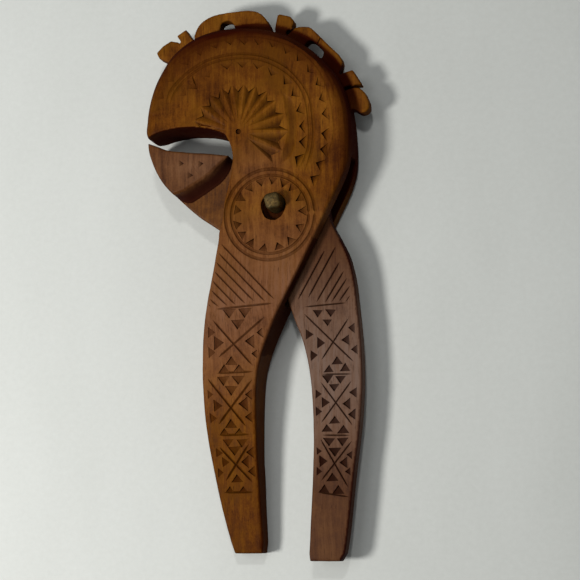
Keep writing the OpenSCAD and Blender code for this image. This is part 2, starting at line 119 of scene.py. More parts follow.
def darker(colour, red, green, blue):
    return (colour[0] * red, colour[1] * green, colour[2] * blue, 1)


def wood(name, dark, middle, light, sheen_and_wear, shine, yellow=0.0, grain_turn=0.0, cut_full=0.7,
         cut_dark=0.8):
    """Oiled wood with its grain along Y, turned by grain_turn. The meshes carry what it needs:
    "cut" is the depth under the old face in mm, "stab" marks the knife's upright walls,
    "stain_and_shade" is old dirt together with painted shade, and "sheen_and_wear" is a painted
    sheen together with wear by hands, which leave the wood paler and greyer.
    A cut has its full dirt, of the strength cut_dark, from a depth of cut_full mm."""
    n = Nodes(name)
    place = n.add("ShaderNodeTexCoord").outputs["Object"]
    bend = n.add("ShaderNodeTexNoise", {"Vector": place, "Scale": 30.0, "Detail": 2.0})
    drift = n.add("ShaderNodeVectorMath", {0: bend.outputs["Color"], 1: (0.5, 0.5, 0.5)},
                  operation="SUBTRACT")
    drift = n.add("ShaderNodeVectorMath", {0: drift.outputs[0], "Scale": 4 * MM},
                  operation="SCALE")
    where = n.add("ShaderNodeVectorMath", {0: place, 1: drift.outputs[0]}).outputs[0]
    bands = n.noise(where, 95.0, 3.0, 0.5, (1, 0.06, 1), grain_turn)
    fibres = n.noise(where, 700.0, 4.0, 0.65, (1, 0.045, 1), grain_turn)
    hairs = n.noise(where, 2400.0, 2.0, 0.7, (1, 0.07, 1), grain_turn)
    clouds = n.noise(where, 38.0, 4.0, 0.6)
    blotch = n.noise(where, 160.0, 5.0, 0.65)
    specks = n.noise(where, 1500.0, 3.0, 0.7)

    tone = n.maths("ADD", n.spread(bands, 0.04, 0.22), n.spread(fibres, -0.05, 0.35))
    tone = n.maths("ADD", tone, n.spread(clouds, -0.06, 0.32))
    tone = n.maths("ADD", tone, n.spread(blotch, -0.06, 0.26))
    tone = n.maths("ADD", tone, n.between(specks, 0.35, 0.65, -0.07, 0.07))
    ramp_node = n.add("ShaderNodeValToRGB", {"Fac": tone})
    ramp_node.color_ramp.elements[0].position = 0.18
    ramp_node.color_ramp.elements[0].color = (*dark, 1)
    ramp_node.color_ramp.elements[1].position = 0.86
    ramp_node.color_ramp.elements[1].color = (*light, 1)
    ramp_node.color_ramp.elements.new(0.52).color = (*middle, 1)
    oil = (middle[0], middle[0] * 0.36, middle[2] * 0.6, 1)
    oiled = n.between(n.noise(where, 60.0, 4.0, 0.6), 0.46, 0.62, 0.0, yellow)
    colour = n.mix(oiled, ramp_node.outputs["Color"], oil)
    # painted sheen: a paler, greyer colour where a broad lamp's reflection lies, mixed with wear by
    # hands
    worn = n.maths("MULTIPLY", n.painted("sheen_and_wear"), n.between(tone, 0.2, 0.8, 0.45, 1.0),
                   clamp=True)
    worn = n.maths("MULTIPLY", worn, n.between(fibres, 0.3, 0.65, 0.7, 1.25), clamp=True)
    colour = n.mix(worn, colour, (*sheen_and_wear, 1))
    pores = n.between(hairs, 0.58, 0.70, 0.0, 0.6)
    colour = n.mix(pores, colour, darker(dark, 0.45, 0.45, 0.45))

    # old dirt and painted shade: darker towards rims and walls, mostly painted shade with some
    # patina, and darkest in the cuts, from dirt
    stain_and_shade = n.maths("MULTIPLY", n.painted("stain_and_shade"), n.between(clouds, 0.25, 0.75, 0.75, 1.2),
                    clamp=True)
    colour = n.mix(stain_and_shade, colour, darker(dark, 0.54, 0.22, 0.3))
    cut = n.painted("cut")
    cut_dirt_and_wall_shade = n.maths("MULTIPLY", n.between(cut, 0.02, cut_full), cut_dark, clamp=True)
    cut_dirt_and_wall_shade = n.maths("MULTIPLY", cut_dirt_and_wall_shade, n.between(blotch, 0.2, 0.8, 0.75, 1.25), clamp=True)
    # the knife's upright walls are darkened too: dirt and painted shade
    cut_dirt_and_wall_shade = n.maths("MAXIMUM", cut_dirt_and_wall_shade, n.maths("MULTIPLY", n.painted("stab"), 0.85))
    colour = n.mix(cut_dirt_and_wall_shade, colour, darker(dark, 0.26, 0.18, 0.25))
    n.put(colour, n.shader.inputs["Base Color"])

    # dull, and duller still in the cuts and where the stain and painted shade lie
    rough = n.maths("ADD", n.spread(fibres, 0.38, 0.54), n.between(cut, 0.0, 0.6, 0.0, 0.22))
    rough = n.maths("ADD", rough, n.between(blotch, 0.3, 0.8, -0.05, 0.06))
    rough = n.maths("ADD", rough, n.maths("MULTIPLY", stain_and_shade, 0.5), clamp=True)
    n.put(rough, n.shader.inputs["Roughness"])
    n.shader.inputs["Specular IOR Level"].default_value = shine

    height = n.maths("ADD", n.maths("MULTIPLY", fibres, 0.6), n.maths("MULTIPLY", hairs, 0.25))
    height = n.maths("ADD", height, n.maths("MULTIPLY", blotch, 0.5))
    soft = n.add("ShaderNodeBevel", {"Radius": 0.10 * MM}, samples=4)
    bump = n.add("ShaderNodeBump", {"Height": height, "Distance": 0.14 * MM, "Strength": 0.65,
                                    "Normal": soft.outputs[0]})
    n.put(bump.outputs[0], n.shader.inputs["Normal"])
    return n.material


fork_wood = wood("fork_wood", dark=(0.056, 0.014, 0.0010), middle=(0.140, 0.043, 0.0032),
                 light=(0.232, 0.086, 0.007), sheen_and_wear=(0.195, 0.086, 0.044), shine=0.035,
                 yellow=0.6, cut_full=0.9, cut_dark=0.68)

# How the knife works
KNIFE_LIFT = 0.25 * MM    # how far a knife solid stands out of the face
WALL_LEAN = 0.38          # how far a chip's walls lean in at its apex, as a share of its depth
BASE_LEAN = 0.6           # and at its base, as a share of that
FACE_BAND = 1.9 * MM      # what lies deeper than this under the face isn't the face
EDGE_MARGIN = 1.3         # mm that a handle's chips keep from its edges
NEAR_KNIFE = 0.8 * MM     # how far from a knife the node's own carving is pressed flat
JUST_UNDER = 0.01 * MM
DARKEST_DEPTH = 1.5       # mm, beyond which a cut gets no darker
STEEP = 0.4               # a cut's wall whose normal has less Z than this was stabbed
CUT_ARRIS = math.radians(14)     # edges sharper than these angles look sharp
WORN_ARRIS = math.radians(50)
ABOVE = 0.1               # a height over the whole object
DOWNWARDS = Vector((0, 0, -1))
SWEEP = range(-60, 42, 2)    # places across the object in mm


def unevenness(place):
    """How much wood the knife and long use have taken off the face at a place."""
    wave = noise.noise(place * 110) * 0.10 + noise.noise(place * 330 + Vector((5, 3, 1))) * 0.03
    return max(0.0, 0.06 + wave) * MM


def settle(piece):
    """Makes the piece's modifiers part of its mesh."""
    ready = bpy.context.evaluated_depsgraph_get()
    mesh = bpy.data.meshes.new_from_object(piece.evaluated_get(ready))
    piece.modifiers.clear()
    old = piece.data
    piece.data = mesh
    bpy.data.meshes.remove(old)


def smooth_line(points, parts=8):
    """A smooth curve through points in mm."""
    out = []
    for i in range(len(points) - 1):
        a, b = Vector(points[max(i - 1, 0)]), Vector(points[i])
        c, d = Vector(points[i + 1]), Vector(points[min(i + 2, len(points) - 1)])
        for s in range(parts):
            t = s / parts
            out.append((2 * b + (c - a) * t + (2 * a - 5 * b + 4 * c - d) * t * t
                        + (3 * b - 3 * c + d - a) * t ** 3) / 2)
    out.append(Vector(points[-1]))
    return out


def evenly(points, step=1.0):
    """The same line with a point about every step mm."""
    out = [points[0]]
    for a, b in zip(points, points[1:]):
        count = max(1, round((b - a).length / step))
        out.extend(a.lerp(b, k / count) for k in range(1, count + 1))
    thin = [out[0]]
    for p in out[1:-1]:
        if (p - thin[-1]).length > step * 0.6:
            thin.append(p)
    return thin + [out[-1]]


class Cuts:
    """Knife cuts into a node's front. Cuts that touch each other go in different turns."""

    VEE = [(-1, 0), (0, -1), (1, 0)]
    GOUGE = [(-1, 0), (-0.72, -0.62), (-0.35, -0.93), (0, -1), (0.35, -0.93), (0.72, -0.62), (1, 0)]

    def __init__(self, node):
        self.node = node
        self.piece = None
        self.turns = {}
        self.levels = {}
        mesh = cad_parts[node].data
        self.form = BVHTree.FromPolygons([v.co.copy() for v in mesh.vertices],
                                         [tuple(p.vertices) for p in mesh.polygons])

    def level(self, y):
        """Height of the node's plain front face at y, which is its highest on that line."""
        row = math.floor(y / MM)
        for r in (row, row + 1):
            if r not in self.levels:
                hits = [self.form.ray_cast(Vector((x * MM, r * MM, ABOVE)), DOWNWARDS)[0]
                        for x in SWEEP]
                self.levels[r] = max([hit.z for hit in hits if hit], default=0.0)
        share = y / MM - row
        return self.levels[row] * (1 - share) + self.levels[row + 1] * share

    def height(self, x, y):
        level = self.level(y)
        return level - unevenness(Vector((x, y, level)))

    def on_face(self, x, y):
        """Whether the face goes on for the edges' margin all round a place."""
        lowest = self.level(y) - FACE_BAND
        for turned in range(0, 360, 45):
            at = (x + EDGE_MARGIN * MM * math.cos(math.radians(turned)),
                  y + EDGE_MARGIN * MM * math.sin(math.radians(turned)), ABOVE)
            hit = self.form.ray_cast(Vector(at), DOWNWARDS)[0]
            if not hit or hit.z < lowest:
                return False
        return True

    def surface(self):
        """All the knife's cuts as one surface."""
        points, faces = [], []
        for some_points, some_faces in self.turns.values():
            faces.extend([tuple(len(points) + i for i in f) for f in some_faces])
            points.extend(some_points)
        return BVHTree.FromPolygons(points, faces) if faces else None

    def solid(self, turn, points, faces):
        all_points, all_faces = self.turns.setdefault(turn, ([], []))
        start = len(all_points)
        all_points.extend(points)
        all_faces.extend([tuple(start + i for i in f) for f in faces])

    def hole(self, turn, outline, depth, level, lift=KNIFE_LIFT, taper=1.0):
        """A hole of an outline in mm. Its floor is the outline times taper."""
        n = len(outline)
        self.solid(turn, [(x * MM * taper, y * MM * taper, level - depth * MM) for x, y in outline]
                   + [(x * MM, y * MM, level + lift) for x, y in outline],
                   [tuple(range(n - 1, -1, -1)), tuple(range(n, 2 * n))]
                   + [(k, (k + 1) % n, n + (k + 1) % n, n + k) for k in range(n)])

    def chip(self, turn, apex, base_a, base_b, depth, base_share=0.0):
        """A three-cut chip in mm: deepest at its apex, and base_share of that at its base."""
        a, p, q = (Vector((v[0] * MM, v[1] * MM)) for v in (apex, base_a, base_b))
        za, zp, zq = (self.height(*v) for v in (a, p, q))
        base = base_share * depth
        lean = max(WALL_LEAN * BASE_LEAN * depth, base)
        middle = (a + p + q) / 3
        low_a = a + (middle - a).normalized() * WALL_LEAN * depth * MM
        low_p = p + (middle - p).normalized() * lean * MM
        low_q = q + (middle - q).normalized() * lean * MM
        self.solid(turn, [(low_a.x, low_a.y, za - depth * MM),
                          (low_p.x, low_p.y, zp - base * MM),
                          (low_q.x, low_q.y, zq - base * MM),
                          (a.x, a.y, za + KNIFE_LIFT), (p.x, p.y, zp + KNIFE_LIFT),
                          (q.x, q.y, zq + KNIFE_LIFT)],
                   [(0, 1, 2), (3, 5, 4), (0, 3, 4, 1), (1, 4, 5, 2), (2, 5, 3, 0)])

    def groove(self, turn, line, width, depth, run_out, curved=False, gouge=False, top=None):
        """A groove along a line of points in mm, V-shaped or hollow, running out at its ends.
        It lies in the node's front face, or in a lower face of height top."""
        points = evenly(smooth_line(line) if curved else [Vector(p) for p in line])
        total = sum((b - a).length for a, b in zip(points, points[1:]))
        spread = KNIFE_LIFT / MM * (width / 2) / depth
        shape = self.GOUGE if gouge else self.VEE
        n = len(shape)
        rings, gone = [], 0.0
        for i, p in enumerate(points):
            if i:
                gone += (p - points[i - 1]).length
            ahead = (points[min(i + 1, len(points) - 1)] - points[max(i - 1, 0)]).normalized()
            side = Vector((-ahead.y, ahead.x))
            share = min(1.0, 0.05 + min(gone, total - gone) / run_out)
            share = math.sin(share * math.pi / 2)
            z = self.height(p.x * MM, p.y * MM) if top is None else top
            ring = []
            for k, (across, down) in enumerate(shape):
                edge = k in (0, n - 1)
                far = across * (width / 2 * share + (spread if edge else 0))
                q = p + side * far
                ring.append((q.x * MM, q.y * MM,
                             z + KNIFE_LIFT if edge else z + down * depth * share * MM))
            rings.append(ring)
        faces = []
        for r in range(len(rings) - 1):
            for k in range(n):
                a, b = r * n + k, r * n + (k + 1) % n
                faces.append((a, b, b + n, a + n))
        faces.append(tuple(range(n - 1, -1, -1)))
        faces.append(tuple((len(rings) - 1) * n + k for k in range(n)))
        self.solid(turn, [p for ring in rings for p in ring], faces)

    def worn_copy(self, name, cell):
        """A piece with the node's form, its edges worn round, its faces a little uneven and its
        carved places plain again, ready for the cuts. Cell is the size of its mesh's faces."""
        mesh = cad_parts[self.node].data.copy()
        mesh.materials.clear()
        b = bmesh.new()
        b.from_mesh(mesh)
        bmesh.ops.remove_doubles(b, verts=b.verts, dist=0.002 * MM)
        b.to_mesh(mesh)
        b.free()
        self.piece = bpy.data.objects.new(name, mesh)
        scene.collection.objects.link(self.piece)
        remesh = self.piece.modifiers.new("even", "REMESH")
        remesh.mode = "VOXEL"
        remesh.voxel_size = cell
        smooth = self.piece.modifiers.new("worn", "SMOOTH")
        smooth.factor = 0.5
        smooth.iterations = 2
        settle(self.piece)
        self.press_flat()
        vertices = self.piece.data.vertices
        outwards = [v.normal.copy() for v in vertices]
        for v, normal in zip(vertices, outwards):
            v.co -= normal * unevenness(v.co)
        return self.piece

    def press_flat(self):
        """Lifts what is carved in the node back to its plain face where a knife will go."""
        knives = self.surface()
        vertices = self.piece.data.vertices
        outwards = [v.normal.copy() for v in vertices]
        for v, normal in zip(vertices, outwards):
            level = self.level(v.co.y)
            if normal.z > 0.2 and level - FACE_BAND < v.co.z < level - JUST_UNDER:
                near = knives and knives.find_nearest(v.co, NEAR_KNIFE)[0]
                if near and self.on_face(v.co.x, v.co.y):
                    v.co.z = level

    def make(self, material):
        """Takes all the cuts out of the piece, a turn at a time."""
        old = self.piece.data.attributes.new("old", "FLOAT", "FACE")
        old.data.foreach_set("value", [1.0] * len(self.piece.data.polygons))
        for turn in sorted(self.turns):
            points, faces = self.turns[turn]
            mesh = bpy.data.meshes.new("knife")
            mesh.from_pydata(points, [], faces)
            b = bmesh.new()
            b.from_mesh(mesh)
            bmesh.ops.recalc_face_normals(b, faces=b.faces)
            bmesh.ops.triangulate(b, faces=b.faces)
            b.to_mesh(mesh)
            b.free()
            knife = bpy.data.objects.new("knife", mesh)
            scene.collection.objects.link(knife)
            cut = self.piece.modifiers.new("cut", "BOOLEAN")
            cut.operation = "DIFFERENCE"
            cut.object = knife
            cut.solver = "MANIFOLD"
            settle(self.piece)
            bpy.data.objects.remove(knife)
            bpy.data.meshes.remove(mesh)
        self.mark()
        self.piece.data.materials.clear()
        self.piece.data.materials.append(material)

    def mark(self):
        """Writes how deep the points of the cuts lie under the old face and which cut faces
        stand upright, and makes the cuts' arrises sharp and all the rest smooth."""
        mesh = self.piece.data
        cut_faces = [value.value < 0.5 for value in mesh.attributes["old"].data]
        deep = [0.0] * len(mesh.vertices)
        upright = [0.0] * len(mesh.polygons)
        for p, is_cut in zip(mesh.polygons, cut_faces):
            if not is_cut:
                continue
            upright[p.index] = float(abs(p.normal.z) < STEEP)
            for i in p.vertices:
                place = mesh.vertices[i].co
                deep[i] = max(0.0, min(DARKEST_DEPTH, (self.height(place.x, place.y) - place.z) / MM))
        depth = mesh.attributes.new("cut", "FLOAT", "POINT")
        depth.data.foreach_set("value", deep)
        stab = mesh.attributes.new("stab", "FLOAT", "FACE")
        stab.data.foreach_set("value", upright)
        b = bmesh.new()
        b.from_mesh(mesh)
        b.faces.ensure_lookup_table()
        for f in b.faces:
            f.smooth = True
        for e in b.edges:
            if len(e.link_faces) == 2:
                in_cut = any(cut_faces[f.index] for f in e.link_faces)
                e.smooth = e.calc_face_angle(0) < (CUT_ARRIS if in_cut else WORN_ARRIS)
        b.to_mesh(mesh)
        b.free()

    def paint(self, attribute, rule):
        """Writes a value for each point of the piece, from its place in mm and its normal."""
        mesh = self.piece.data
        values = mesh.attributes.new(attribute, "FLOAT", "POINT")
        normals = [v.normal.copy() for v in mesh.vertices]
        values.data.foreach_set("value", [max(0.0, min(1.0, rule(v.co / MM, normals[v.index])))
                                          for v in mesh.vertices])


def polar(centre, radius, angle):
    return (centre[0] + radius * math.cos(math.radians(angle)),
            centre[1] + radius * math.sin(math.radians(angle)))


def ring_line(centre, radius, count=96):
    """A closed ring, its first point also its last."""
    return [polar(centre, radius, 360 * i / count) for i in range(count + 1)]


hand = random.Random(7)   # the carver's small unevenness


def wobble(point, size=0.18):
    return (point[0] + hand.uniform(-size, size), point[1] + hand.uniform(-size, size))


face = Cuts("fork_lever")

# The fan over the mouth: petals between ridges that end in points, round a small drilled hole.
# Each ridge is [angle, reach]. The last petals lean to their further ridge and are cut deepest.
FAN_CENTRE = (-15.6, 30.5)
FAN_RIDGES = [(178, 19.0), (163, 19.8), (145, 19.7), (128, 20.4), (112, 20.3), (98, 20.2),
              (83, 20.0), (68, 20.2), (53, 20.6), (37, 20.2), (18, 20.6), (-2, 21.3),
              (-26, 20.6), (-44, 20.4)]
FAN_START = 4.2
FAN_NOTCH = 16.9
FAN_NOTCH_MORE = 0.8
FAN_DEPTH = 0.7
FAN_DEPTH_MORE = 0.75
FAN_LEANING_FROM = 9
FAN_LEANING_SHARE = 0.36
RIDGE_HALF = 0.6          # degrees
PETAL_LEAN = 0.8          # of a chip's lean
for i in range(len(FAN_RIDGES) - 1):
    (angle_a, reach_a), (angle_b, reach_b) = FAN_RIDGES[i], FAN_RIDGES[i + 1]
    lower = i / (len(FAN_RIDGES) - 2)
    depth = FAN_DEPTH + FAN_DEPTH_MORE * lower
    near_share = 0.5 if i < FAN_LEANING_FROM else FAN_LEANING_SHARE
    valley = angle_a * near_share + angle_b * (1 - near_share)
    start = wobble(polar(FAN_CENTRE, FAN_START, (angle_a + angle_b) / 2), 0.1)
    tip_a = polar(FAN_CENTRE, reach_a, angle_a - RIDGE_HALF)
    tip_b = polar(FAN_CENTRE, reach_b, angle_b + RIDGE_HALF)
    notch = polar(FAN_CENTRE, FAN_NOTCH + FAN_NOTCH_MORE * lower, valley)
    level = face.height(notch[0] * MM, notch[1] * MM)
    a, p, q, s = (Vector((v[0] * MM, v[1] * MM, level)) for v in (notch, tip_a, tip_b, start))
    up = Vector((0, 0, KNIFE_LIFT))
    reach = 1 + KNIFE_LIFT / (depth * MM)
    inwards = (s - a).normalized() * WALL_LEAN * PETAL_LEAN * depth * MM
    points = [a + inwards - Vector((0, 0, depth * MM)), a + up, a + (p - a) * reach + up,
              a + (s - a) * reach + up, a + (q - a) * reach + up]
    face.solid(i % 2, points, [(0, 2, 1), (0, 3, 2), (0, 4, 3), (0, 1, 4), (1, 2, 3), (1, 3, 4)])
FAN_HOLE_R = 1.15
FAN_HOLE_DEPTH = 0.9
face.hole(5, ring_line(FAN_CENTRE, FAN_HOLE_R, count=20)[:-1], FAN_HOLE_DEPTH,
          face.height(FAN_CENTRE[0] * MM, FAN_CENTRE[1] * MM), lift=0.3 * MM)

# A hollow gouged arc beside the fan, a pair of arcs round it, and a last one along the rim
GOUGED_ARC = [(3.4, 45.5), (5.9, 41), (7.3, 34), (7.2, 27.5), (5.6, 21.5), (2.6, 16.2)]
DOUBLE_ARC = [(-46.8, 44), (-44.3, 50.2), (-37.4, 57.1), (-28.3, 62.1), (-16.7, 63.8),
              (-5.5, 62.2), (4.2, 57.4), (10.8, 50.6), (14.6, 43), (16.1, 34.6), (16.2, 27.4),
              (15.2, 20.6), (12.4, 13)]
INNER_ARC = [(-45.2, 43.4), (-42.6, 49.1), (-36.2, 55.5), (-27.7, 60.3), (-16.6, 62),
             (-6.2, 60.5), (2.9, 56), (9.3, 49.6), (12.9, 42.4), (14.4, 34.4), (14.5, 27.6),
             (13.5, 21.2), (10.8, 14.2)]
RIM_ARC = [(-44, 58.6), (-38, 64), (-30.5, 67.9), (-19.7, 70.4), (-9.8, 70.6), (3.6, 67.4),
           (12.8, 61.4), (19.6, 52.6), (23.4, 42.5), (24.7, 33), (24.4, 26.6), (23, 20.2),
           (20.6, 14), (17.6, 7.4), (15.6, 3.4)]
face.groove(2, GOUGED_ARC, width=4.0, depth=0.6, run_out=7, curved=True, gouge=True)
for turn, arc, uneven, width, depth, run_out in ((2, DOUBLE_ARC, 0.25, 1.2, 0.36, 9),
                                                 (3, INNER_ARC, 0.25, 1.1, 0.32, 9),
                                                 (2, RIM_ARC, 0.3, 0.9, 0.15, 20)):
    face.groove(turn, [wobble(p, uneven) for p in arc], width, depth, run_out, curved=True,
                gouge=True)

# Two rows of chips that point to the fan: [x, y, size, depth]
INNER_CHIPS = [(-40.8, 42.3, 0.8, 0.3), (-38.3, 47.3, 0.8, 0.3), (-33.4, 49.6, 1.1, 0.55),
               (-27.9, 54.4, 0.9, 0.35), (-20.2, 57.2, 1.0, 0.5), (-13.9, 57.6, 1.0, 0.5),
               (-7.6, 56.6, 1.0, 0.5), (-2.0, 53.6, 1.0, 0.55), (3.6, 49.6, 1.05, 0.75),
               (7.0, 44.4, 1.05, 0.8), (8.9, 37.9, 1.05, 0.85), (9.9, 31.3, 1.1, 0.95),
               (10.2, 25.2, 1.15, 1.0), (8.0, 18.6, 1.25, 1.1)]
OUTER_CHIPS = [(-47.6, 46.6, 0.9, 0.35), (-49.6, 41.6, 0.8, 0.3), (-43.6, 53.4, 0.9, 0.3),
               (-37.6, 60.2, 0.8, 0.28), (-31.6, 64.0, 0.8, 0.28), (-25.4, 66.4, 0.9, 0.32),
               (-19.3, 67.4, 0.9, 0.4), (-13.2, 67.4, 0.9, 0.4), (-7.2, 66.8, 0.9, 0.4),
               (-1.4, 65.2, 0.9, 0.4), (4.4, 62.6, 0.95, 0.45), (9.4, 59.0, 1.0, 0.6),
               (13.6, 53.9, 1.0, 0.65), (17.0, 48.4, 1.0, 0.7), (18.4, 42.2, 1.0, 0.7),
               (19.6, 35.8, 1.0, 0.75), (19.3, 27.8, 1.15, 0.95), (19.0, 21.6, 1.15, 0.95),
               (17.2, 15.8, 1.2, 1.0), (14.9, 10.0, 1.2, 1.0)]
ROW_CHIP = 2.8            # length and half width of a chip of size 1
ROW_DEPTH = 1.25          # times the depth in the table: the knife went a little deeper
for row in (INNER_CHIPS, OUTER_CHIPS):
    for x, y, size, depth in row:
        out = Vector((x - FAN_CENTRE[0], y - FAN_CENTRE[1])).normalized()
        side = Vector((-out.y, out.x))
        apex = Vector((x, y))
        long = half = ROW_CHIP * size
        face.chip(4, wobble(apex, 0.3), wobble(apex + out * long + side * half, 0.4),
                  wobble(apex + out * long - side * half, 0.4), depth * ROW_DEPTH)
SLIP = [(-35.6, 55.4), (-33.3, 49.2)]    # the knife slipped at one chip
face.groove(1, SLIP, width=0.9, depth=0.6, run_out=3)

# The ring round the pin: two grooves with sixteen chips inside them, pointing at the pin.
# RING_CHIPS are the chips' directions.
RING_CENTRE = (-2.1, -4.8)
RING_CHIPS = [126, 105, 85, 66, 48, 26, 3, -24, -52, -74, -101, -124, -146, -165, 171, 149]
RING_CHIP_APEX = 11.9
RING_CHIP_BASE = 15.5
RING_CHIP_HALF = 7.8      # degrees
NO_RUN_OUT = 0.01
face.groove(5, ring_line(RING_CENTRE, 18.9), width=1.3, depth=0.52, run_out=NO_RUN_OUT, gouge=True)
face.groove(6, ring_line(RING_CENTRE, 16.3), width=1.1, depth=0.48, run_out=NO_RUN_OUT, gouge=True)
for angle in RING_CHIPS:
    apex = wobble(polar(RING_CENTRE, RING_CHIP_APEX, angle), 0.35)
    base = RING_CHIP_BASE + hand.uniform(-0.2, 0.2)
    face.chip(7, apex, wobble(polar(RING_CENTRE, base, angle + RING_CHIP_HALF), 0.2),
              wobble(polar(RING_CENTRE, base, angle - RING_CHIP_HALF), 0.2), 1.0, base_share=0.25)

# The pin has worn an oval hollow in the cheek, longer towards the handles
HOLLOW_CENTRE = (-0.9, -1.75)
HOLLOW_HALF_X, HOLLOW_HALF_Y = 4.95, 5.6
HOLLOW_DEPTH = 3.1
HOLLOW_SIDES = 32
HOLLOW_UNEVEN = 0.12
hollow = []
for k in range(HOLLOW_SIDES):
    turned = 2 * math.pi * k / HOLLOW_SIDES
    oval = (HOLLOW_CENTRE[0] + HOLLOW_HALF_X * math.cos(turned),
            HOLLOW_CENTRE[1] + HOLLOW_HALF_Y * math.sin(turned))
    hollow.append(wobble(oval, HOLLOW_UNEVEN))
face.hole(0, hollow, HOLLOW_DEPTH, face.height(0, 0), taper=0.96)

# The left handle: slanting strokes, then three panels of a cross with twelve chips
HANDLE_STROKES = [((-22.4, -16.6), (-0.3, -39.9)), ((-23.5, -20.3), (-4.0, -40.8)),
                  ((-24.8, -23.8), (-8.7, -40.5)), ((-25.5, -27.6), (-12.3, -41.5)),
                  ((-26.5, -31.3), (-16.4, -41.9)), ((-26.8, -35.4), (-19.8, -42.2)),
                  ((-27.4, -39.1), (-23.6, -42.4)), ((-27.9, -41.2), (-26.8, -42.4))]
HANDLE_BARS = [((-24.3, -43.4), (-1.0, -41.6)), ((-24.9, -69.5), (-9.9, -69.1)),
               ((-24.6, -94.7), (-12.1, -94.4)), ((-23.2, -117.9), (-11.2, -117.8))]
HANDLE_CROSSES = [((-26.1, -47.9), (-10.0, -66.4)), ((-4.4, -47.2), (-24.0, -63.0)),
                  ((-28.8, -71.8), (-13.5, -91.0)), ((-10.2, -72.3), (-24.7, -90.1)),
                  ((-24.8, -99.5), (-11.4, -113.6)), ((-12.5, -98.4), (-22.3, -113.0))]


def panel_lines(cuts, strokes, bars, crosses, stroke_size, bar_size, cross_size):
    """The strokes, bars and crosses of a handle. A size is [width, depth]."""
    for a, b in strokes:
        cuts.groove(0, [a, b], *stroke_size, run_out=3)
    for a, b in bars:
        cuts.groove(1, [a, b], *bar_size, run_out=3)
    for k, (a, b) in enumerate(crosses):
        cuts.groove(2 + k % 2, [a, b], *cross_size, run_out=3)


panel_lines(face, HANDLE_STROKES, HANDLE_BARS, HANDLE_CROSSES, (0.85, 0.6), (1.0, 0.7), (1.0, 0.7))

# Chips of the left handle: [apex x, y, direction that the apex points to, size, depth]
DOWN, UP, RIGHT, LEFT = -90, 90, 0, 180
HANDLE_CHIPS = [
    (-19.2, -47.4, DOWN, 1.0, 0.7), (-12.6, -47.2, DOWN, 1.05, 0.7),
    (-15.7, -51.8, DOWN, 1.05, 0.8),
    (-18.8, -62.7, UP, 0.95, 0.8), (-22.0, -66.1, UP, 0.82, 0.8), (-15.6, -66.0, UP, 0.85, 0.8),
    (-25.2, -52.9, RIGHT, 0.8, 0.5), (-21.9, -57.2, RIGHT, 1.1, 0.8),
    (-25.3, -61.0, RIGHT, 0.8, 0.5),
    (-8.0, -53.4, LEFT, 0.95, 0.8), (-12.7, -56.8, LEFT, 1.05, 0.85),
    (-10.2, -61.8, LEFT, 0.95, 0.8),
    (-22.4, -74.6, DOWN, 1.0, 0.7), (-16.0, -74.4, DOWN, 1.0, 0.7),
    (-19.2, -78.6, DOWN, 1.0, 0.75),
    (-19.6, -88.0, UP, 0.95, 0.85), (-22.6, -91.8, UP, 0.74, 0.8),
    (-16.4, -91.7, UP, 0.74, 0.85),
    (-26.8, -78.0, RIGHT, 0.65, 0.45), (-23.2, -82.6, RIGHT, 0.95, 0.8),
    (-25.6, -87.6, RIGHT, 0.75, 0.5),
    (-13.4, -78.4, LEFT, 0.9, 0.7), (-16.2, -82.2, LEFT, 1.05, 0.85),
    (-13.7, -87.4, LEFT, 0.9, 0.75),
    (-21.2, -99.4, DOWN, 0.85, 0.55), (-15.4, -99.6, DOWN, 0.85, 0.6),
    (-18.6, -103.0, DOWN, 1.0, 0.7),
    (-17.8, -110.4, UP, 0.9, 0.8), (-21.0, -115.4, UP, 0.6, 0.75),
    (-15.4, -115.3, UP, 0.6, 0.75),
    (-23.6, -101.8, RIGHT, 0.7, 0.45), (-20.8, -105.6, RIGHT, 0.8, 0.5),
    (-23.4, -109.9, RIGHT, 0.8, 0.5),
    (-13.6, -101.6, LEFT, 0.8, 0.65), (-16.0, -105.4, LEFT, 0.9, 0.75),
    (-13.2, -109.4, LEFT, 0.8, 0.65),
]
PANEL_CHIP_LENGTH = 3.6
PANEL_CHIP_HALF = 2.6
PANEL_DEPTH = 1.1         # times the depth in the table
SHRINK = 0.92
SHRINK_TRIES = 6


def panel_chips(cuts, chips, grow):
    """Chips of a handle, grown about their middles by a factor. One that would run over the
    handle's edge is made smaller."""
    for k, (x, y, turned, size, depth) in enumerate(chips):
        ahead = Vector(polar((0, 0), 1, turned))
        side = Vector((-ahead.y, ahead.x))
        apex = Vector((x, y)) + ahead * (PANEL_CHIP_LENGTH / 2) * size * (grow - 1)
        size *= grow
        for _ in range(SHRINK_TRIES):
            back = apex - ahead * PANEL_CHIP_LENGTH * size
            corners = [wobble(back + side * PANEL_CHIP_HALF * size),
                       wobble(back - side * PANEL_CHIP_HALF * size)]
            if all(cuts.on_face(c[0] * MM, c[1] * MM) for c in corners):
                break
            size *= SHRINK
        cuts.chip(4 + k % 3, wobble(apex), *corners, depth * PANEL_DEPTH, base_share=0.4)


panel_chips(face, HANDLE_CHIPS, grow=1.08)

# Saw kerfs and a crack where the crest's tufts part
CREST_TOP = 14.25 * MM    # front face of the crest
CREST_KERFS = [[(8.2, 77.2), (3.2, 72.8)], [(26.6, 47.4), (31.7, 48.8), (35.6, 48.4)]]
CREST_CRACK = [(17.9, 71.2), (16.8, 69.0), (15.7, 67.0)]
for line in CREST_KERFS:
    face.groove(3, line, width=0.8, depth=1.6, run_out=NO_RUN_OUT, top=CREST_TOP)
face.groove(3, CREST_CRACK, width=0.3, depth=0.5, run_out=0.8, top=CREST_TOP)

MESH_CELL = 0.42 * MM
fork = face.worn_copy("carved_fork_lever", MESH_CELL)
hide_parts("fork_lever")
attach(fork, "fork")
face.make(fork_wood)

